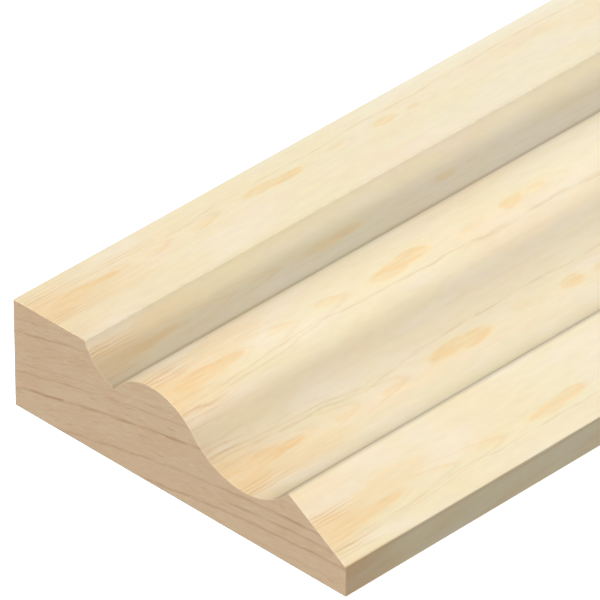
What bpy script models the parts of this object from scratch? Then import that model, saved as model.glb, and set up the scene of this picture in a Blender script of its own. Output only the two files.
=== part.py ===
"""Ogee architrave moulding: a square-cut length of pine, moulded on its face and flat behind.

Metres, +Z up. The origin is the middle of the flat back, on the surface that the piece lies on.
+X runs along the grain, +Y points across to the thick outer edge, and +Z points out of the
wall, towards the moulded face. The section is drawn from its thick edge to its thin one.
"""
import math

import bmesh
import bpy

NAME = "architrave_moulding"

# Length, cut square at both ends
LENGTH = 0.120

# Widths of the members across the face, in order from the thick outer edge
FLAT_WIDTH = 0.01525
COVE_WIDTH = 0.0059
CREST_BACK_WIDTH = 0.00785
CREST_FRONT_WIDTH = 0.0086
TROUGH_BACK_WIDTH = 0.0104
TROUGH_FRONT_WIDTH = 0.0092
BEVEL_WIDTH = 0.0118

# Wood left behind the two thinnest places, measured from the flat back
TROUGH_HEIGHT = 0.0082
THIN_EDGE_HEIGHT = 0.0053

# Height steps between neighbouring members
OGEE_FALL = 0.0092
FLAT_ABOVE_CREST = 0.0016
QUIRK_BELOW_CREST = 0.0041
LIP_ABOVE_TROUGH = 0.00445

# How far the cove sinks under a straight line from its arris to the quirk
COVE_HOLLOW = 0.0010

# Angle that one short side of a drawn arc stands for
ARC_STEP = math.radians(1.5)

# Corners sharper than this stay crisp when the face is shaded
CRISP_ANGLE = math.radians(15)

WELD_DISTANCE = 1e-6

PINE_COLOUR = "F0DEB6"
PINE_ROUGHNESS = 0.6


def linear_colour(code):
    """Turn an sRGB hex code into the linear colour that a shader takes."""
    channels = [int(code[place:place + 2], 16) / 255 for place in (0, 2, 4)]
    return [((c + 0.055) / 1.055) ** 2.4 if c > 0.04045 else c / 12.92 for c in channels] + [1.0]


def arc(start, end, turn):
    """Points after start on the arc to end, along which the heading turns by this angle."""
    chord_heading = math.atan2(end[1] - start[1], end[0] - start[0])
    first_heading = chord_heading - turn / 2
    radius = math.dist(start, end) / (2 * math.sin(turn / 2))
    centre_x = start[0] - radius * math.sin(first_heading)
    centre_y = start[1] + radius * math.cos(first_heading)
    steps = max(1, round(abs(turn) / ARC_STEP))
    points = []
    for step in range(1, steps + 1):
        heading = first_heading + turn * step / steps
        points.append((centre_x + radius * math.sin(heading), centre_y - radius * math.cos(heading)))
    return points


def level_turn(start, end):
    """Turn of an arc that lies level at one of its two ends, always counted as positive."""
    return 2 * math.atan2(abs(end[1] - start[1]), end[0] - start[0])


def section_outline():
    """The cross-section: x runs from the thick edge, y up from the flat back."""
    crest_height = TROUGH_HEIGHT + OGEE_FALL
    thickness = crest_height + FLAT_ABOVE_CREST

    arris = (FLAT_WIDTH, thickness)
    quirk = (arris[0] + COVE_WIDTH, crest_height - QUIRK_BELOW_CREST)
    crest = (quirk[0] + CREST_BACK_WIDTH, crest_height)
    ogee_width = CREST_FRONT_WIDTH + TROUGH_BACK_WIDTH
    trough = (crest[0] + ogee_width, TROUGH_HEIGHT)
    # the two arcs of the ogee meet on the straight line from the crest to the trough
    swing = (crest[0] + CREST_FRONT_WIDTH, crest[1] - OGEE_FALL * CREST_FRONT_WIDTH / ogee_width)
    lip = (trough[0] + TROUGH_FRONT_WIDTH, TROUGH_HEIGHT + LIP_ABOVE_TROUGH)
    thin_edge = (lip[0] + BEVEL_WIDTH, THIN_EDGE_HEIGHT)

    outline = [(0.0, 0.0), (0.0, thickness), arris]
    outline += arc(arris, quirk, 4 * math.atan(2 * COVE_HOLLOW / math.dist(arris, quirk)))
    outline += arc(quirk, crest, -level_turn(quirk, crest))
    outline += arc(crest, swing, -level_turn(crest, swing))
    outline += arc(swing, trough, level_turn(swing, trough))
    outline += arc(trough, lip, level_turn(trough, lip))
    outline += [thin_edge, (thin_edge[0], 0.0)]
    return outline


def pine():
    """Bare planed pine."""
    material = bpy.data.materials.new("pine")
    material.use_nodes = True
    shader = material.node_tree.nodes["Principled BSDF"]
    shader.inputs["Base Color"].default_value = linear_colour(PINE_COLOUR)
    shader.inputs["Roughness"].default_value = PINE_ROUGHNESS
    shader.inputs["Metallic"].default_value = 0.0
    return material


def run_section(outline):
    """Run the section along the piece's length, as a filled flat curve with an extrusion."""
    width = max(x for x, _ in outline)
    curve = bpy.data.curves.new("section", "CURVE")
    curve.dimensions = "2D"
    curve.fill_mode = "BOTH"
    curve.extrude = LENGTH / 2
    spline = curve.splines.new("POLY")
    spline.points.add(len(outline) - 1)
    for point, (x, y) in zip(spline.points, outline):
        point.co = (x - width / 2, y, 0.0, 1.0)
    spline.use_cyclic_u = True
    section = bpy.data.objects.new("section", curve)
    # the section stands up across the piece, with its thick edge on the +Y side
    section.rotation_euler = (math.pi / 2, 0.0, -math.pi / 2)
    return section


def welded_piece(section, collection):
    """Make the run section one closed mesh, with crisp arrises and smooth curves."""
    collection.objects.link(section)
    bpy.context.view_layer.update()
    evaluated = section.evaluated_get(bpy.context.evaluated_depsgraph_get())
    mesh = bpy.data.meshes.new_from_object(evaluated)
    mesh.name = NAME
    mesh.transform(section.matrix_world)
    bpy.data.objects.remove(section)

    welded = bmesh.new()
    welded.from_mesh(mesh)
    bmesh.ops.remove_doubles(welded, verts=welded.verts, dist=WELD_DISTANCE)
    bmesh.ops.recalc_face_normals(welded, faces=welded.faces)
    welded.to_mesh(mesh)
    welded.free()
    mesh.shade_smooth()
    mesh.set_sharp_from_angle(angle=CRISP_ANGLE)

    piece = bpy.data.objects.new(NAME, mesh)
    collection.objects.link(piece)
    return piece


def main():
    for leftover in list(bpy.data.objects):
        bpy.data.objects.remove(leftover)
    collection = bpy.data.collections.new("Architrave moulding")
    bpy.context.scene.collection.children.link(collection)
    piece = welded_piece(run_section(section_outline()), collection)
    piece.data.materials.clear()
    piece.data.materials.append(pine())


main()
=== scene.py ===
# %% [markdown]
# # A length of pine architrave
#
# An architrave is the moulded board that hides the gap between a door lining and the plaster.
# This one is a short sample of it, cut square from a machined length of pine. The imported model
# already has its true section, so this file works on what the eye adds to that: arrises that a
# fingertip has softened, planed faces with the figure of the timber, and sawn ends that show
# its growth rings. Everything is in metres, with +X along the grain and the back on Z = 0.

import math

import bmesh
import bpy
from mathutils import Matrix, Vector


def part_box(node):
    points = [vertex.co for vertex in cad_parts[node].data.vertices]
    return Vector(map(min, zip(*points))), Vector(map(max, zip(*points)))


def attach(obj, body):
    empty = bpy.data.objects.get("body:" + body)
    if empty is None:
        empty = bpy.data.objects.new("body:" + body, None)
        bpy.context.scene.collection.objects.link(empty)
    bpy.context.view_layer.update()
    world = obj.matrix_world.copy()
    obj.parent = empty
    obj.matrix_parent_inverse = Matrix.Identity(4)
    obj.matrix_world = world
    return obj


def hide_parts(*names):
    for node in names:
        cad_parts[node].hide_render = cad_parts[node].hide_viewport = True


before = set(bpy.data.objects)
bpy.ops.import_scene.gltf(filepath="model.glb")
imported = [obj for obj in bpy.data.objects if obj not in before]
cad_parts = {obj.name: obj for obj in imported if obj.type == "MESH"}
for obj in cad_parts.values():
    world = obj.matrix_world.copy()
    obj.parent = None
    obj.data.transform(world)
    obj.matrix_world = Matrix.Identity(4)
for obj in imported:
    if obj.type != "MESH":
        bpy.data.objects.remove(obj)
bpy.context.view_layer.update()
NODE = "architrave_moulding"
MM = 0.001
low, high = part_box(NODE)
size = (high - low) / MM
print(f"the moulding is {size.x:.1f} mm long, {size.y:.1f} mm wide and {size.z:.1f} mm thick")

# %% [markdown]
# ## The piece
#
# A moulder's knives leave every edge sharp, but softwood never keeps such an edge: one stroke of
# sandpaper or a day in a rack rounds it by a tenth of a millimetre, and that thin rounded line
# is what catches the light along each arris. The solid could be softened with a Bevel modifier,
# but the two quirks, where the cutter leaves an inner corner, have to stay crisp. So the solid's
# mesh is copied, its loose triangles are merged, and a bevel runs along the outward corners only.

# %% Merge a copy of the solid
WELD = 0.001 * MM
FLAT_ENOUGH = math.radians(0.5)

shape = bmesh.new()
shape.from_mesh(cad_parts[NODE].data)
bmesh.ops.remove_doubles(shape, verts=shape.verts, dist=WELD)
bmesh.ops.dissolve_limit(shape, angle_limit=FLAT_ENOUGH, verts=shape.verts, edges=shape.edges)
print(f"merged copy: {len(shape.faces)} faces")

# %% Soften the outward corners
ARRIS = 0.12 * MM
CORNER = math.radians(20)

outward = [edge for edge in shape.edges if edge.is_convex and edge.calc_face_angle() > CORNER]
bmesh.ops.bevel(shape, geom=outward, offset=ARRIS, offset_type="OFFSET", affect="EDGES",
                segments=3, profile=0.5, material=-1)
print(f"softened {len(outward)} edges by {ARRIS / MM} mm")

# %% Part the sawn ends from the planed faces
PLANED, SAWN = 0, 1
CRISP = math.radians(40)

for face in shape.faces:
    face.smooth = True
    face.material_index = SAWN if abs(face.normal.x) > 0.9 else PLANED
moulding_mesh = bpy.data.meshes.new("moulded_pine_length")
shape.to_mesh(moulding_mesh)
shape.free()
moulding_mesh.set_sharp_from_angle(angle=CRISP)
moulding = bpy.data.objects.new("moulded_pine_length", moulding_mesh)
bpy.context.scene.collection.objects.link(moulding)

even_light = moulding.modifiers.new("flat faces shade flat", "WEIGHTED_NORMAL")
even_light.keep_sharp = True
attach(moulding, "root")
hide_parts(NODE)
print(f"{moulding.name}: {len(moulding_mesh.polygons)} faces")

# %% [markdown]
# ## Tools for the finishes
#
# Both finishes are node trees. They could be laid out by hand in the Shader Editor, but a script
# can be read from top to bottom, and a value is changed in one place. One function turns a colour
# given as an sRGB hex code into the linear colour that a shader works with. One more adds
# any node, with its settings and links, so that each finish reads as a list of steps.

# %% Colours and nodes
def linear(code):
    """Turn an sRGB hex code into a linear colour with an alpha."""
    channels = [int(code[place:place + 2], 16) / 255 for place in (0, 2, 4)]
    return [((c + 0.055) / 1.055) ** 2.4 if c > 0.04045 else c / 12.92 for c in channels] + [1.0]


def add_node(tree, kind, inputs=None, output=0, stops=(), **settings):
    """Add a shader node, set and link its inputs, and return one of its outputs."""
    node = tree.nodes.new("ShaderNode" + kind)
    for name, value in settings.items():
        setattr(node, name, value)
    for name, value in (inputs or {}).items():
        if isinstance(value, bpy.types.NodeSocket):
            tree.links.new(value, node.inputs[name])
        else:
            node.inputs[name].default_value = value
    for number, (place, colour) in enumerate(stops):
        ramp = node.color_ramp.elements
        stop = ramp[number] if number < 2 else ramp.new(place)
        stop.position = place
        stop.color = colour
    return node.outputs[output] if len(node.outputs) else node


def new_material(name):
    """Start a material with an empty node tree, and put it in the piece's next material slot."""
    material = bpy.data.materials.new(name)
    material.use_nodes = True
    material.node_tree.nodes.clear()
    moulding_mesh.materials.append(material)
    return material.node_tree


print(f"a middle grey, 808080, is {linear('808080')[0]:.3f} to a shader")

# %% [markdown]
# ## Where things are in the board
#
# A carpenter measures a moulding from its sawn end and from its thick edge, so the patterns do
# too: x runs from the near end, s across from the thick edge and z up from the back, all in
# millimetres. A UV map could carry the patterns, but it would have to be unfolded round every
# arris, while these coordinates run right through the wood, as its grain does. Every pattern
# below gets its size from these millimetres.

# %% Places, mottles and drawn curves
def board_place(tree):
    """Place in the board, in mm: x from the near end, s from the thick edge, z from the back."""
    coordinates = add_node(tree, "TexCoord", output="Object")
    return add_node(tree, "Mapping", {
        "Vector": coordinates,
        "Location": (-low.x / MM, high.y / MM, 0.0),
        "Scale": (1 / MM, -1 / MM, 1 / MM)})


def mottle(tree, place, patch, detail=2.0, start=0.0, output=0):
    """Noise between 0 and 1 with patches of this size in mm along x, s and z."""
    scaled = add_node(tree, "Mapping", {
        "Vector": place, "Location": (start, start, start), "Scale": [1 / length for length in patch]})
    return add_node(tree, "TexNoise", {"Vector": scaled, "Scale": 1.0, "Detail": detail}, output=output)


def drawn(tree, value, first, last, points):
    """Read a curve that is drawn as (mm, height) points, with heights between 0 and 1."""
    share = add_node(tree, "MapRange", {"Value": value, "From Min": first, "From Max": last})
    stops = [((mm - first) / (last - first), (height, height, height, 1.0)) for mm, height in points]
    return add_node(tree, "ValToRGB", {0: share}, stops=stops)


def thin_lines(marks, first, last):
    """Points of a curve that is 0 apart from peaks, from (mm, height, half width) marks."""
    points = [(first, 0.0)]
    for mm, height, half_width in marks:
        points += [(mm - half_width, 0.0), (mm, height), (mm + half_width, 0.0)]
    return points + [(last, 0.0)]


print(f"s runs from 0 on the thick edge to {size.y:.1f} mm on the thin one")

# %% [markdown]
# ## Growth rings
#
# Judging by the sawn end, the pith of the tree lay about 286 mm under the board's back, past its
# thin edge, so the rings cross that end as nearly straight lines that climb towards the thick
# edge. A Wave texture can make rings, but it spaces them evenly, and real years differ. So each
# ring is listed with its radius, its strength and its width. There are two lists, because the
# rings aren't equally strong on both sides, and one gives way to the other along s. The same
# rings run out along the edges and the back as long lines, so one function serves both finishes.
# They are made to stray more the further they are from the near end, as no tree is a true cone.

# %% Rings around the pith
PITH_S, PITH_Z = 80.6, -286.0
RINGS_FIRST, RINGS_LAST = 284.0, 318.0  # radii in mm, a little more than the board reaches
THICK_SIDE_RINGS = (  # radius, strength and half width in mm
    (288.2, 0.20, 0.28), (291.1, 0.75, 0.32), (294.9, 0.50, 0.34), (300.2, 0.95, 0.36),
    (303.1, 0.55, 0.28), (304.6, 0.30, 0.24), (307.4, 0.15, 0.25), (310.0, 0.55, 0.32), (312.2, 0.30, 0.26))
THIN_SIDE_RINGS = (
    (288.2, 0.25, 0.28), (291.1, 0.75, 0.36), (293.0, 0.58, 0.32), (294.9, 0.80, 0.40), (297.6, 0.20, 0.26))
SIDES_MEET = (40.0, 48.0)  # s between which one side's rings give way to the other's
STRAY_NEAR, STRAY_FAR, FAR = 0.2, 2.6, 70.0  # mm that a ring strays at the near end, and FAR mm along
WAVER = 0.36  # mm that it wavers up and down on its way


def growth_rings(tree, place, apart):
    """Radius from the pith in mm, and how much latewood there is there."""
    from_pith = add_node(tree, "VectorMath", {0: place, 1: (0.0, PITH_S, PITH_Z)}, operation="SUBTRACT")
    from_pith = add_node(tree, "VectorMath", {0: from_pith, 1: (0.0, 1.0, 1.0)}, operation="MULTIPLY")
    radius = add_node(tree, "VectorMath", {0: from_pith}, output="Value", operation="LENGTH")
    stray = mottle(tree, place, (45.0, 16.0, 12.0), detail=1.0)
    reach = add_node(tree, "MapRange", {
        "Value": apart.outputs[0], "From Max": FAR, "To Min": STRAY_NEAR, "To Max": STRAY_FAR})
    stray_mm = add_node(tree, "Math", {0: stray, 1: 0.5}, operation="SUBTRACT")
    stray_mm = add_node(tree, "Math", {0: stray_mm, 1: reach}, operation="MULTIPLY")
    waver = mottle(tree, place, (12.0, 4.5, 3.2), detail=3.0, start=7.0)
    waver_mm = add_node(tree, "MapRange", {"Value": waver, "To Min": -WAVER, "To Max": WAVER})
    radius = add_node(tree, "Math", {0: radius, 1: stray_mm}, operation="ADD")
    radius = add_node(tree, "Math", {0: radius, 1: waver_mm}, operation="ADD")
    thick_side, thin_side = (
        drawn(tree, radius, RINGS_FIRST, RINGS_LAST, thin_lines(rings, RINGS_FIRST, RINGS_LAST))
        for rings in (THICK_SIDE_RINGS, THIN_SIDE_RINGS))
    crossing = add_node(tree, "MapRange", {
        "Value": apart.outputs[1], "From Min": SIDES_MEET[0], "From Max": SIDES_MEET[1]},
        interpolation_type="SMOOTHSTEP")
    latewood = add_node(tree, "MixRGB", {0: crossing, 1: thick_side, 2: thin_side})
    return radius, latewood


print(f"{len(THICK_SIDE_RINGS)} rings near the thick edge, {len(THIN_SIDE_RINGS)} near the thin one")

# %% [markdown]
# ## Planed pine
#
# The wood looks like Scots pine from the moulder, with no finish on it. In the picture the same
# figure comes once on each member of the profile: orange lens-shaped flecks, as where a knife has
# just grazed the top of a growth layer, flame-shaped curves around them and thin latewood lines
# beside them. Noise that is stretched along the grain would streak the whole face evenly, and
# figure has a drawing. So it is drawn once, in two coordinates: x, and v, which is the distance
# from the middle of the member's row. Each row has its own middle, direction and spread, so the
# one drawing serves all five.

# %% Members of the profile
MEMBERS = {  # first and last s in mm, middle of the figure, its direction and spread, its strength
    "flat": (0.0, 15.25, 5.4, 1.25, 0.88),
    "cove": (15.25, 21.15, 18.1, -2.4, 0.62),
    "raised ogee": (21.15, 38.3, 31.98, -1.0, 1.0),
    "hollow": (38.3, 57.2, 44.6, 1.0, 1.0),
    "bevel": (57.2, 69.0, 64.67, -1.6, 0.80),
}
MEMBER_END = 0.04  # mm from a member's arris to the first and last point of its curves
ROW_REACH = 13.0  # v runs from -13 to 13 mm


def row_points():
    """Points of the curve that turns s into v, as a share of the row's reach."""
    points = []
    for first, last, middle, spread, strength in MEMBERS.values():
        for s in (first + MEMBER_END, last - MEMBER_END):
            v = spread * (s - middle)
            points.append((s, min(1.0, max(0.0, 0.5 + v / ROW_REACH / 2))))
    return points


def strength_points():
    """Points of the curve that turns s into the strength of the member's figure."""
    return [(s, strength) for first, last, middle, spread, strength in MEMBERS.values()
            for s in (first + MEMBER_END, last - MEMBER_END)]


print(f"the figure repeats on {len(MEMBERS)} members: {', '.join(MEMBERS)}")

# %% Start of the planed pine
# Bare planed pine: warm cream, matt, and a little silky where the dense wood shows.
tree = new_material("planed_scots_pine")
place = board_place(tree)
apart = add_node(tree, "SeparateXYZ", {0: place}).node
along, across, height = apart.outputs[0], apart.outputs[1], apart.outputs[2]
latewood = growth_rings(tree, place, apart)[1]
print(f"growth rings in the planed pine: {len(tree.nodes)} nodes so far")

# %% Coordinates of the figure
WANDER = 0.9  # mm that a row leaves its straight line
FRAY = Vector((2.6, 0.9, 0.0))  # mm that the figure's edges fray along the grain and across it
BACK_AHEAD = 38.0  # mm that the back's figure is shifted, so that it doesn't repeat the face's

row = drawn(tree, across, 0.0, size.y, row_points())
row_mm = add_node(tree, "MapRange", {"Value": row, "To Min": -ROW_REACH, "To Max": ROW_REACH})
wander = mottle(tree, place, (22.0, 9.0, 9.0))
wander_mm = add_node(tree, "MapRange", {"Value": wander, "To Min": -WANDER, "To Max": WANDER})
row_mm = add_node(tree, "Math", {0: row_mm, 1: wander_mm}, operation="ADD")
on_back = add_node(tree, "MapRange", {"Value": height, "From Min": 0.35, "From Max": 0.15})
figure_x = add_node(tree, "Math", {0: on_back, 1: BACK_AHEAD, 2: along}, operation="MULTIPLY_ADD")

fray = mottle(tree, place, (4.5, 0.9, 0.9), detail=3.0, output="Color")
fray_mm = add_node(tree, "VectorMath", {0: fray, 1: FRAY}, operation="MULTIPLY")
figure = add_node(tree, "CombineXYZ", {0: figure_x, 1: row_mm})
figure = add_node(tree, "VectorMath", {0: figure, 1: fray_mm}, operation="ADD")
figure = add_node(tree, "VectorMath", {0: figure, 1: FRAY / 2}, operation="SUBTRACT")
figure_apart = add_node(tree, "SeparateXYZ", {0: figure}).node
figure_x, figure_v = figure_apart.outputs[0], figure_apart.outputs[1]
member_strength = drawn(tree, across, 0.0, size.y, strength_points())
print(f"the figure wanders by {WANDER} mm and frays by {FRAY.x:.1f} mm along the grain")

# %% [markdown]
# A fleck is where a growth layer's crest just shows, so it is darkest along its middle and fades
# into a yellow halo where only a few fibres of it are left. Stretched Voronoi cells would scatter
# flecks everywhere. A few spherical gradients, squeezed to lenses and put where the layer's
# crests are, look more like one real board.

# %% Flecks
FLECKS = (  # x, v, half length, half width in mm, strength
    (46.8, -0.2, 7.2, 2.1, 1.0),
    (51.3, 0.3, 6.6, 2.0, 1.0),
    (72.6, 0.1, 4.1, 1.7, 0.80),
    (78.6, 0.35, 2.7, 1.0, 0.50),
    (62.6, -0.45, 3.4, 0.9, 0.40),
    (13.2, 0.3, 5.8, 1.4, 1.0),
    (7.0, 0.2, 10.5, 2.3, 0.90),
    (0.0, 0.9, 15.0, 6.6, 0.62),
    (15.0, 3.4, 15.5, 4.2, 0.32),
    (24.0, 0.7, 4.6, 1.2, 0.36),
    (33.8, 0.6, 4.4, 1.3, 0.45),
    (100.0, 0.2, 7.0, 1.6, 0.18),
    (108.0, -0.2, 8.0, 1.6, 0.22),
)

core, halo = 0.0, 0.0
for x, v, half_length, half_width, strength in FLECKS:
    local = add_node(tree, "Mapping", {
        "Vector": figure, "Location": (x, v, 0.0), "Scale": (half_length, half_width, 1.0)},
        vector_type="TEXTURE")
    lens = add_node(tree, "TexGradient", {0: local}, output=1, gradient_type="SPHERICAL")
    grazed = add_node(tree, "MapRange", {
        "Value": lens, "From Min": 0.34, "From Max": 0.56, "To Max": strength},
        interpolation_type="SMOOTHSTEP")
    around = add_node(tree, "MapRange", {
        "Value": lens, "From Min": 0.05, "From Max": 0.5, "To Max": strength},
        interpolation_type="SMOOTHSTEP")
    core = add_node(tree, "Math", {0: core, 1: grazed}, operation="MAXIMUM")
    halo = add_node(tree, "Math", {0: halo, 1: around}, operation="MAXIMUM")

threads = mottle(tree, place, (6.0, 0.6, 0.6), detail=3.0, start=2.0)
threads = add_node(tree, "MapRange", {
    "Value": threads, "From Min": 0.34, "From Max": 0.6, "To Min": 0.36, "To Max": 1.04})
core = add_node(tree, "Math", {0: core, 1: threads}, operation="MULTIPLY")
core = add_node(tree, "Math", {0: core, 1: member_strength}, operation="MULTIPLY")
print(f"{len(FLECKS)} flecks on each member")

# %% [markdown]
# Beside the flecks runs one long latewood line, which forks into three near the sawn end. A few
# short reddish lines stop within a centimetre of that end. A Wave texture could lay such lines
# side by side, but they would keep one distance and never weave, so they are drawn as curves.

# %% Latewood lines
FIGURE_LAST = 158.0  # the far end of the figure on the back, mm
LONG_LINE = (  # x and v, mm
    (0, -3.1), (5, -2.75), (9, -2.4), (17, -2.2), (22, -2.05), (26, -1.6), (30, -1.35), (34, -1.95),
    (42, -2.3), (50, -2.35), (53, -2.6), (57, -2.2), (65, -2.7), (78, -2.4), (95, -2.8), (158, -2.3))
SINGLE_LINE = ((0.0, 1.0, 0.30),)  # v past the long line, strength and half width in mm
TRIPLE_LINE = ((-1.55, 0.45, 0.20), (-0.75, 0.85, 0.24), (0.0, 1.0, 0.30))
LINE_REACH = 3.0
SHORT_LINES = (  # v, strength and half width in mm
    (-5.2, 0.35, 0.25), (-4.4, 0.5, 0.22), (-3.55, 0.8, 0.24), (-1.6, 0.4, 0.22), (2.7, 0.6, 0.24),
    (3.4, 0.8, 0.24), (4.3, 0.9, 0.24), (5.0, 0.6, 0.24))

weave = drawn(tree, figure_x, 0.0, FIGURE_LAST, [(x, 0.5 + v / ROW_REACH / 2) for x, v in LONG_LINE])
weave_mm = add_node(tree, "MapRange", {"Value": weave, "To Min": -ROW_REACH, "To Max": ROW_REACH})
past_line = add_node(tree, "Math", {0: figure_v, 1: weave_mm}, operation="SUBTRACT")
single_line, triple_line = (
    drawn(tree, past_line, -LINE_REACH, LINE_REACH, thin_lines(marks, -LINE_REACH, LINE_REACH))
    for marks in (SINGLE_LINE, TRIPLE_LINE))
forked = add_node(tree, "MapRange", {
    "Value": figure_x, "From Min": 42.0, "From Max": 14.0}, interpolation_type="SMOOTHSTEP")
long_line = add_node(tree, "MixRGB", {0: forked, 1: single_line, 2: triple_line})
breaks = mottle(tree, place, (4.0, 1.0, 1.0), detail=3.0, start=3.0)
breaks = add_node(tree, "MapRange", {"Value": breaks, "From Min": 0.38, "From Max": 0.6, "To Min": 0.3})
long_line = add_node(tree, "Math", {0: long_line, 1: breaks}, operation="MULTIPLY")
long_line = add_node(tree, "Math", {0: long_line, 1: member_strength}, operation="MULTIPLY")

short_line = drawn(tree, figure_v, -ROW_REACH, ROW_REACH, thin_lines(SHORT_LINES, -ROW_REACH, ROW_REACH))
near_end = add_node(tree, "MapRange", {
    "Value": figure_x, "From Min": 13.0, "From Max": 2.0}, interpolation_type="SMOOTHSTEP")
short_line = add_node(tree, "Math", {0: short_line, 1: near_end}, operation="MULTIPLY")
print(f"one long line, and {len(SHORT_LINES)} short ones at the near end")

# %% [markdown]
# Flames are the same growth layers a little further down, cut so flat that each shows as a long
# pointed arch around the row's middle. Every arch is the same parabola, moved along the grain, so
# one drawn curve along x plus a multiple of v squared makes them all.

# %% Flames
FLAMES = (  # x of the tip, strength and half width in mm
    (10.0, 0.35, 1.3), (18.0, 0.7, 1.2), (27.0, 0.9, 1.5), (37.0, 1.0, 1.7), (43.5, 0.3, 1.1),
    (66.0, 0.3, 1.2), (84.0, 0.3, 1.6))
FLAMES_LAST = 120.0
FLAME_BOW = 2.1  # mm that a flame falls back from its tip where v is 1 mm

v_squared = add_node(tree, "Math", {0: figure_v, 1: 2.0}, operation="POWER")
tip_x = add_node(tree, "Math", {0: v_squared, 1: FLAME_BOW, 2: figure_x}, operation="MULTIPLY_ADD")
flame = drawn(tree, tip_x, 0.0, FLAMES_LAST, thin_lines(FLAMES, 0.0, FLAMES_LAST))
flame_fade = add_node(tree, "MapRange", {"Value": v_squared, "From Min": 16.0, "From Max": 2.0})
flame = add_node(tree, "Math", {0: flame, 1: flame_fade}, operation="MULTIPLY")
print(f"{len(FLAMES)} flames on each member")

# %% [markdown]
# Bare pine is cream, and this board is browner towards its sawn end. Over the rest lie wide
# clouds of pink, green and yellow. One colour with fine noise on it looks like plastic, so the
# colours are laid over each other in thin layers, as glazes are.

# %% Colour along the board
BY_LENGTH = (  # x in mm and colour
    (0, "F3DDB8"), (5, "F5E2BE"), (12, "F7E6C3"), (30, "FAECC8"), (60, "FBEECC"), (115, "FEF2D2"))

wood = add_node(tree, "MapRange", {"Value": along, "From Max": size.x})
wood = add_node(tree, "ValToRGB", {0: wood}, stops=[(x / size.x, linear(code)) for x, code in BY_LENGTH])
print(f"{len(BY_LENGTH)} colours from the near end to the far one")

# %% Clouds of colour
CLOUDS = {  # patch in mm, detail and start of the noise, where the tint begins and is full, its
            # greatest share, how it rises, and its colour
    "pinker": ((28.0, 7.0, 7.0), 1.0, 11.0, 0.50, 0.70, 0.65, "SMOOTHSTEP", "FEE8C6"),
    "greener": ((28.0, 7.0, 7.0), 1.0, 11.0, 0.48, 0.25, 0.25, "SMOOTHSTEP", "F4EDC4"),
    "blush": ((9.0, 2.4, 2.4), 2.0, 15.0, 0.48, 0.72, 0.24, "LINEAR", "FCE3BD"),
    "paler": ((16.0, 4.0, 4.0), 2.0, 31.0, 0.50, 0.68, 0.45, "SMOOTHSTEP", "FDF0DA"),
    "yellower": ((16.0, 4.0, 4.0), 2.0, 31.0, 0.50, 0.32, 0.28, "SMOOTHSTEP", "FBEAB9"),
}

for patch, detail, start, begins, full, most, rise, code in CLOUDS.values():
    clouds = mottle(tree, place, patch, detail=detail, start=start)
    tint = add_node(tree, "MapRange", {
        "Value": clouds, "From Min": begins, "From Max": full, "To Max": most}, interpolation_type=rise)
    wood = add_node(tree, "MixRGB", {0: tint, 1: wood, 2: linear(code)})
print(f"clouds: {', '.join(CLOUDS)}")

# %% Paler strip beside the thick edge
# Towards the far end the picture shows the wood paler here. It may be sapwood, the palest wood.
PALE_STRIP = (  # s in mm and share
    (0.04, 0.0), (0.12, 1.0), (0.6, 1.0), (1.2, 0.92), (2.5, 0.5), (3.8, 0.08), (4.5, 0.0))

pale_strip = drawn(tree, across, 0.0, 5.0, PALE_STRIP)
far_half = add_node(tree, "MapRange", {
    "Value": along, "From Min": 50.0, "From Max": 100.0, "To Max": 0.65}, interpolation_type="SMOOTHSTEP")
pale_strip = add_node(tree, "Math", {0: pale_strip, 1: far_half}, operation="MULTIPLY")
wood = add_node(tree, "MixRGB", {0: pale_strip, 1: wood, 2: linear("FFFAE4")})
print(f"the paler strip ends {PALE_STRIP[-1][0]} mm from the thick edge")

# %% Colour of the figure
# Near the sawn end the flecks and their halos are browner, as if resin had soaked into them.
resin = add_node(tree, "MapRange", {
    "Value": figure_x, "From Min": 23.0, "From Max": 11.0}, interpolation_type="SMOOTHSTEP")
soaked = add_node(tree, "Math", {0: halo, 1: 0.55}, operation="MULTIPLY")
soaked = add_node(tree, "Math", {0: soaked, 1: core}, operation="MAXIMUM")
resin = add_node(tree, "Math", {0: resin, 1: soaked}, operation="MULTIPLY")

FIGURE_COLOURS = {  # where it is, its greatest share, and its colour
    "halo": (halo, 0.26, "FEE7B0"),
    "flame": (flame, 0.34, "F2CF9B"),
    "core": (core, 1.0, "FBDCA8"),
    "resin": (resin, 0.46, "F0C48A"),
    "long line": (long_line, 0.42, "E2C191"),
    "short lines": (short_line, 0.74, "E2B686"),
}
for where, most, code in FIGURE_COLOURS.values():
    tint = add_node(tree, "Math", {0: where, 1: most}, operation="MULTIPLY")
    wood = add_node(tree, "MixRGB", {0: tint, 1: wood, 2: linear(code)})
print(f"colours of the figure: {', '.join(FIGURE_COLOURS)}")

# %% [markdown]
# The rings come out strongest where the board was cut across them: on the two edges, and as long
# thin lines on the back. On the face they nearly lie in the surface and stay faint. The edges
# could have a material of their own, but then their colour would stop dead at the arris, so they
# are a part of this one, picked out by s. They are also browner in patches.

# %% Rings on the edges and the back
EDGE_STARTS, EDGE_FULL = 0.3, 0.1  # mm from the outermost s on each side

on_thin_edge = add_node(tree, "MapRange", {
    "Value": across, "From Min": size.y - EDGE_STARTS, "From Max": size.y - EDGE_FULL})
on_thick_edge = add_node(tree, "MapRange", {"Value": across, "From Min": EDGE_STARTS, "From Max": EDGE_FULL})
on_edges = add_node(tree, "Math", {0: on_thin_edge, 1: on_thick_edge}, operation="ADD")
off_face = add_node(tree, "Math", {0: on_edges, 1: on_back}, operation="MAXIMUM")
ring_share = add_node(tree, "MapRange", {"Value": off_face, "To Min": 0.05, "To Max": 0.42})
ring_share = add_node(tree, "Math", {0: ring_share, 1: latewood}, operation="MULTIPLY")
wood = add_node(tree, "MixRGB", {0: ring_share, 1: wood, 2: linear("DDB483")})

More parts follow.
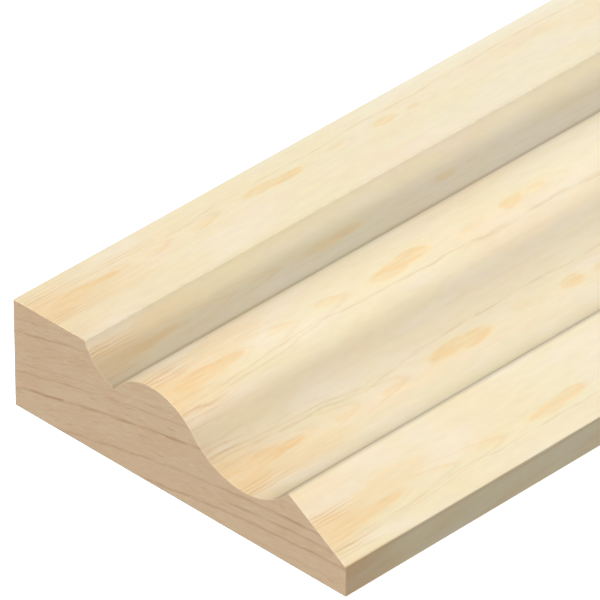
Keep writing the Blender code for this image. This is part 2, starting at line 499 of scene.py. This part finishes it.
browner = mottle(tree, place, (12.0, 3.0, 2.2), detail=2.0, start=21.0)
browner = add_node(tree, "MapRange", {"Value": browner, "From Min": 0.45, "From Max": 0.68, "To Max": 0.24})
towards_end = add_node(tree, "MapRange", {"Value": along, "From Min": 14.0, "From Max": 0.0, "To Max": 0.5})
browner = add_node(tree, "Math", {0: browner, 1: towards_end}, operation="ADD")
browner = add_node(tree, "Math", {0: browner, 1: on_edges}, operation="MULTIPLY")
wood = add_node(tree, "MixRGB", {0: browner, 1: wood, 2: linear("EBC08D")})
print(f"edges start {EDGE_STARTS} mm from the outermost s")

# %% [markdown]
# The lines of open fibres on real pine are a few hundredths of a millimetre wide and about a fifth
# of a millimetre apart. They are drawn a third of a millimetre apart here, so that they still show
# at this distance, and lighten or darken the wood by barely more than one part in a hundred.

# %% Fibres and flakes
FIBRE_SHADE, FLAKE_SHADE = 0.012, 0.026

fibres = mottle(tree, place, (14.0, 0.35, 0.35), detail=3.0)
flakes = mottle(tree, place, (3.5, 0.9, 0.9), detail=3.0, start=6.0)
for pattern, most in ((fibres, FIBRE_SHADE), (flakes, FLAKE_SHADE)):
    shade = add_node(tree, "MapRange", {
        "Value": pattern, "From Min": 0.25, "From Max": 0.75, "To Min": 1 - most, "To Max": 1 + most})
    wood = add_node(tree, "VectorMath", {0: wood, "Scale": shade}, operation="SCALE")
print(f"fibres shade the wood by {FIBRE_SHADE:.1%} and flakes by {FLAKE_SHADE:.1%}")

# %% [markdown]
# The cove, the steep part of the ogee and the lines beside the quirk and the lip are darker in the
# picture than these lamps make them. A harder lamp might darken them too, but it would draw
# sharper shadows. So shade is painted into the wood's colour across the profile: painted shade
# that deepens down the cove, dark painted lines in the quirk and beside the lip, painted shade on
# the steep part of the ogee and a slight painted shade over the rest. Its shares were set by
# comparing the render with the picture. A colour ramp holds 32 stops at most, and this takes them all.

# %% Painted shade across the profile
# Painted shade: s in mm, and the share of the wood's brightness that the painted shade leaves
PAINTED_SHADE = (  # s in mm, share of the wood's brightness that is left
    (0.0, 0.955), (14.7, 0.955), (15.15, 0.905), (15.42, 0.980), (16.0, 0.915), (16.6, 0.805),
    (17.2, 0.695), (18.0, 0.620), (20.6, 0.585), (20.8, 0.46), (22.9, 0.43), (23.25, 0.70),
    (24.2, 0.86), (25.4, 0.935), (33.5, 0.967), (35.5, 0.953), (36.3, 0.924), (37.0, 0.867),
    (37.7, 0.810), (38.3, 0.780), (41.0, 0.810), (43.5, 0.848), (45.7, 0.886), (51.0, 0.910),
    (52.5, 0.895), (53.4, 0.865), (54.2, 0.82), (54.9, 0.60), (57.1, 0.52), (57.65, 0.965),
    (68.85, 0.965), (68.95, 0.93))
GREYER = (1.01, 0.93)  # powers of the share that green and blue get
BROWNER = (1.03, 1.06)
BROWNER_BELOW = 0.55  # the share under which a place turns browner instead of greyer

# The painted shade is multiplied into the wood's colour. Deep painted shade turns browner and light painted
# shade greyer, and the back keeps its full colour.
painted_shade_stops = []
for s, share in PAINTED_SHADE:
    green, blue = BROWNER if share < BROWNER_BELOW else GREYER
    painted_shade_stops.append((s / size.y, (share, share ** green, share ** blue, 1.0)))
painted_shade = add_node(tree, "MapRange", {"Value": across, "From Max": size.y})
painted_shade = add_node(tree, "ValToRGB", {0: painted_shade}, stops=painted_shade_stops)
painted_shade = add_node(tree, "MixRGB", {0: on_back, 1: painted_shade, 2: linear("FFFFFF")})
wood = add_node(tree, "MixRGB", {0: 1.0, 1: wood, 2: painted_shade}, blend_type="MULTIPLY")
print(f"{len(PAINTED_SHADE)} places across the profile have a tone of their own")

# %% [markdown]
# The surface itself is smooth but not glossy. Flecks are dense latewood, which planes shinier, and
# the fibres stand up by a hundredth of a millimetre. Each turn of the cutter block leaves a very
# shallow scallop across the board. Both are far too shallow to be worth moving the mesh for, so
# they are bump, which only tilts the light.

# %% Surface of the planed faces
WAVE_SCALE = 0.196  # the bands of a Wave texture are 2 pi / 20 / scale apart
KNIFE_PITCH = 2 * math.pi / 20 / WAVE_SCALE
KNIFE_DEPTH, FIBRE_HEIGHT = 0.003 * MM, 0.012 * MM
DULL, DULLEST, FLECK_SHINE = 0.52, 0.66, -0.12

roughness = add_node(tree, "MapRange", {"Value": fibres, "To Min": DULL, "To Max": DULLEST})
roughness = add_node(tree, "Math", {0: core, 1: FLECK_SHINE, 2: roughness}, operation="MULTIPLY_ADD")
scallops = add_node(tree, "TexWave", {
    "Vector": place, "Scale": WAVE_SCALE, "Distortion": 0.4},
    output="Fac", wave_type="BANDS", bands_direction="X")
knife_marks = add_node(tree, "Bump", {"Height": scallops, "Strength": 1.0, "Distance": KNIFE_DEPTH})
relief = add_node(tree, "Bump", {
    "Height": fibres, "Strength": 1.0, "Distance": FIBRE_HEIGHT, "Normal": knife_marks})
shader = add_node(tree, "BsdfPrincipled", {
    "Base Color": wood, "Roughness": roughness, "Specular IOR Level": 0.3, "Normal": relief})
add_node(tree, "OutputMaterial", {0: shader})
print(f"planed pine: {len(tree.nodes)} nodes, with a scallop every {KNIFE_PITCH:.1f} mm")

# %% [markdown]
# ## Sawn end grain
#
# The saw has cut across the fibres, so the ends drink in light and look browner than the faces.
# The rings cross them as thin dark lines that break up where the saw has torn them, with short
# light and dark strokes of torn fibres between them. The faces' finish would show its flecks and
# lines end on, which no sawn wood does, so the ends get a second material. It shares the rings,
# so that they meet the ones on the edges at the arris.

# %% Rings and torn fibres
# Bare sawn end grain: browner than the face, rough and quite dull, as it swallows the light.
# Its cells are a few hundredths of a millimetre wide, and the speckle is drawn ten times coarser.
tree = new_material("sawn_pine_end_grain")
place = board_place(tree)
apart = add_node(tree, "SeparateXYZ", {0: place}).node
along, across = apart.outputs[0], apart.outputs[1]
radius, latewood = growth_rings(tree, place, apart)
ring_place = add_node(tree, "CombineXYZ", {0: along, 1: across, 2: radius})

dashes = mottle(tree, ring_place, (30.0, 5.0, 0.8), detail=2.0)
dashes = add_node(tree, "MapRange", {"Value": dashes, "From Min": 0.35, "From Max": 0.62, "To Min": 0.35})
ring_line = add_node(tree, "Math", {0: latewood, 1: dashes}, operation="MULTIPLY")
tears = mottle(tree, ring_place, (30.0, 3.2, 0.45), detail=1.0, start=14.0)
bright_tears = add_node(tree, "MapRange", {
    "Value": tears, "From Min": 0.62, "From Max": 0.74}, interpolation_type="SMOOTHSTEP")
dark_tears = add_node(tree, "MapRange", {
    "Value": tears, "From Min": 0.38, "From Max": 0.27}, interpolation_type="SMOOTHSTEP")
strokes = mottle(tree, ring_place, (30.0, 2.5, 0.35), detail=3.0, start=5.0)
patches = mottle(tree, ring_place, (30.0, 12.0, 3.0), detail=1.0, start=9.0)
speckle = mottle(tree, place, (0.3, 0.3, 0.3), detail=1.0)
print(f"growth rings and tears in the end grain: {len(tree.nodes)} nodes so far")

# %% Colour of the end grain
END_COLOURS = {  # where it is, its greatest share, and its colour
    "rings": (ring_line, 0.85, "CFA277"),
    "bright tears": (bright_tears, 0.55, "FFEBCB"),
    "dark tears": (dark_tears, 0.30, "DDB188"),
}
END_SHADES = (  # pattern, its values between which the shade changes, darkest and lightest shade
    (strokes, 0.3, 0.7, 0.96, 1.035),
    (speckle, 0.0, 1.0, 0.95, 1.05))

patches = add_node(tree, "MapRange", {"Value": patches, "From Min": 0.35, "From Max": 0.7, "To Max": 0.6})
sawn = add_node(tree, "MixRGB", {0: patches, 1: linear("FBDCB7"), 2: linear("F5D2A9")})
for where, most, code in END_COLOURS.values():
    tint = add_node(tree, "Math", {0: where, 1: most}, operation="MULTIPLY")
    sawn = add_node(tree, "MixRGB", {0: tint, 1: sawn, 2: linear(code)})
for pattern, first, last, darkest, lightest in END_SHADES:
    shade = add_node(tree, "MapRange", {
        "Value": pattern, "From Min": first, "From Max": last, "To Min": darkest, "To Max": lightest})
    sawn = add_node(tree, "VectorMath", {0: sawn, "Scale": shade}, operation="SCALE")
print(f"colours of the end grain: {', '.join(END_COLOURS)}")

# %% Surface of the end grain
STROKE_HEIGHT, SPECKLE_HEIGHT = 0.04 * MM, 0.02 * MM

torn = add_node(tree, "Bump", {"Height": strokes, "Strength": 1.0, "Distance": STROKE_HEIGHT})
torn = add_node(tree, "Bump", {
    "Height": speckle, "Strength": 1.0, "Distance": SPECKLE_HEIGHT, "Normal": torn})
shader = add_node(tree, "BsdfPrincipled", {
    "Base Color": sawn, "Roughness": 0.82, "Specular IOR Level": 0.15, "Normal": torn})
add_node(tree, "OutputMaterial", {0: shader})
print(f"end grain: {len(tree.nodes)} nodes")

# %% [markdown]
# ## The studio
#
# The sample lies on a plain white table. The table could be lit until it is white, but then the
# wood would burn out, so it glows a little by itself. Diffuse and mirrored light pass it by, and
# the glow doesn't reach the wood. It lies a twentieth of a millimetre below the back, because two
# faces in the very same plane flicker through each other.

# %% Table
TABLE_REACH = 6.0  # metres from its middle to its edge
TABLE_GAP = 0.05 * MM
TABLE_GLOW = 0.6

table_shape = bmesh.new()
bmesh.ops.create_grid(table_shape, x_segments=1, y_segments=1, size=TABLE_REACH,
                      matrix=Matrix.Translation((0.0, 0.0, -TABLE_GAP)))
table_mesh = bpy.data.meshes.new("table_top")
table_shape.to_mesh(table_mesh)
table_shape.free()
table_top = bpy.data.objects.new("table_top", table_mesh)
bpy.context.scene.collection.objects.link(table_top)
table_top.visible_diffuse = False
table_top.visible_glossy = False

# White matt paint: no gloss at all, so no lamp shows in it.
white = bpy.data.materials.new("white_table")
white.use_nodes = True
paint = white.node_tree.nodes["Principled BSDF"].inputs
paint["Base Color"].default_value = linear("FFFFFF")
paint["Roughness"].default_value = 1.0
paint["Specular IOR Level"].default_value = 0.0
paint["Emission Color"].default_value = linear("FFFFFF")
paint["Emission Strength"].default_value = TABLE_GLOW
table_mesh.materials.append(white)
print(f"table top {2 * TABLE_REACH:.0f} m wide, {TABLE_GAP / MM} mm below the back")

# %% [markdown]
# A large soft key lamp stands past the near end, so that the sawn end is lit too, with one softbox
# overhead and a weaker one in front of the thin edge. An environment picture could do the same,
# but three lamps can each be turned up or down to set one kind of face against another. White
# walls far away send a little light from everywhere.

# %% Lights
WALL_LIGHT = 0.25
LAMP_DISTANCE, LAMP_WIDTH = 2.5, 1.6  # metres
LAMPS = {  # azimuth and elevation in degrees, power in watts; azimuth 0 is on the -Y side
    "softbox_overhead": (0, 88, 11),
    "soft_key_past_the_near_end": (-74, 56, 41),
    "softbox_in_front": (-15, 38, 10.5),
}

world = bpy.data.worlds.new("white walls")
world.use_nodes = True
world.node_tree.nodes["Background"].inputs["Color"].default_value = linear("FFFFFF")
world.node_tree.nodes["Background"].inputs["Strength"].default_value = WALL_LIGHT
bpy.context.scene.world = world


def add_lamp(name, azimuth, elevation, power):
    """Add a round soft lamp that looks at the middle of the piece."""
    turn, rise = math.radians(azimuth), math.radians(elevation)
    towards = Vector((math.sin(turn) * math.cos(rise), -math.cos(turn) * math.cos(rise), math.sin(rise)))
    data = bpy.data.lights.new(name, "AREA")
    data.shape = "DISK"
    data.size = LAMP_WIDTH
    data.energy = power
    lamp = bpy.data.objects.new(name, data)
    lamp.location = towards * LAMP_DISTANCE
    lamp.rotation_euler = towards.to_track_quat("Z", "Y").to_euler()
    bpy.context.scene.collection.objects.link(lamp)


for name, (azimuth, elevation, power) in LAMPS.items():
    add_lamp(name, azimuth, elevation, power)
bpy.context.scene.view_settings.view_transform = "Standard"
print(f"lamps: {', '.join(LAMPS)}")

# %% [markdown]
# ## The camera
#
# The picture's perspective is that of a long lens over the near end, as parallel edges stay
# nearly parallel. The eye is turned 45 degrees off the length and looks down at 34 degrees. A
# flat, orthographic camera would come close, but the edges do draw together a little, so this is
# a real lens 1.5 m away. It is placed from the near corner, where the thin edge meets the back.

# %% Camera
AZIMUTH, ELEVATION, ROLL = math.radians(-44.991), math.radians(34.430), math.radians(-0.179)
DISTANCE = 1508.64 * MM
LENS, SENSOR = 625.88, 36.0  # mm
ASIDE, ABOVE = -6.595 * MM, 42.983 * MM  # from the near corner to the middle of the picture

near_corner = Vector((low.x, low.y, low.z))
back = Vector((math.sin(AZIMUTH) * math.cos(ELEVATION), -math.cos(AZIMUTH) * math.cos(ELEVATION),
               math.sin(ELEVATION)))
sideways = Vector((math.cos(AZIMUTH), math.sin(AZIMUTH), 0.0))
upright = back.cross(sideways)
right = sideways * math.cos(ROLL) + upright * math.sin(ROLL)
up = upright * math.cos(ROLL) - sideways * math.sin(ROLL)

camera_data = bpy.data.cameras.new("long lens")
camera_data.lens = LENS
camera_data.sensor_width = SENSOR
camera_data.clip_end = 50.0
camera = bpy.data.objects.new("camera", camera_data)
eye = near_corner + right * ASIDE + up * ABOVE + back * DISTANCE
turned = Matrix((right, up, back)).transposed().to_4x4()
camera.matrix_world = Matrix.Translation(eye) @ turned
bpy.context.scene.collection.objects.link(camera)
bpy.context.scene.camera = camera
print(f"camera {DISTANCE:.2f} m away, {LENS:.0f} mm lens")
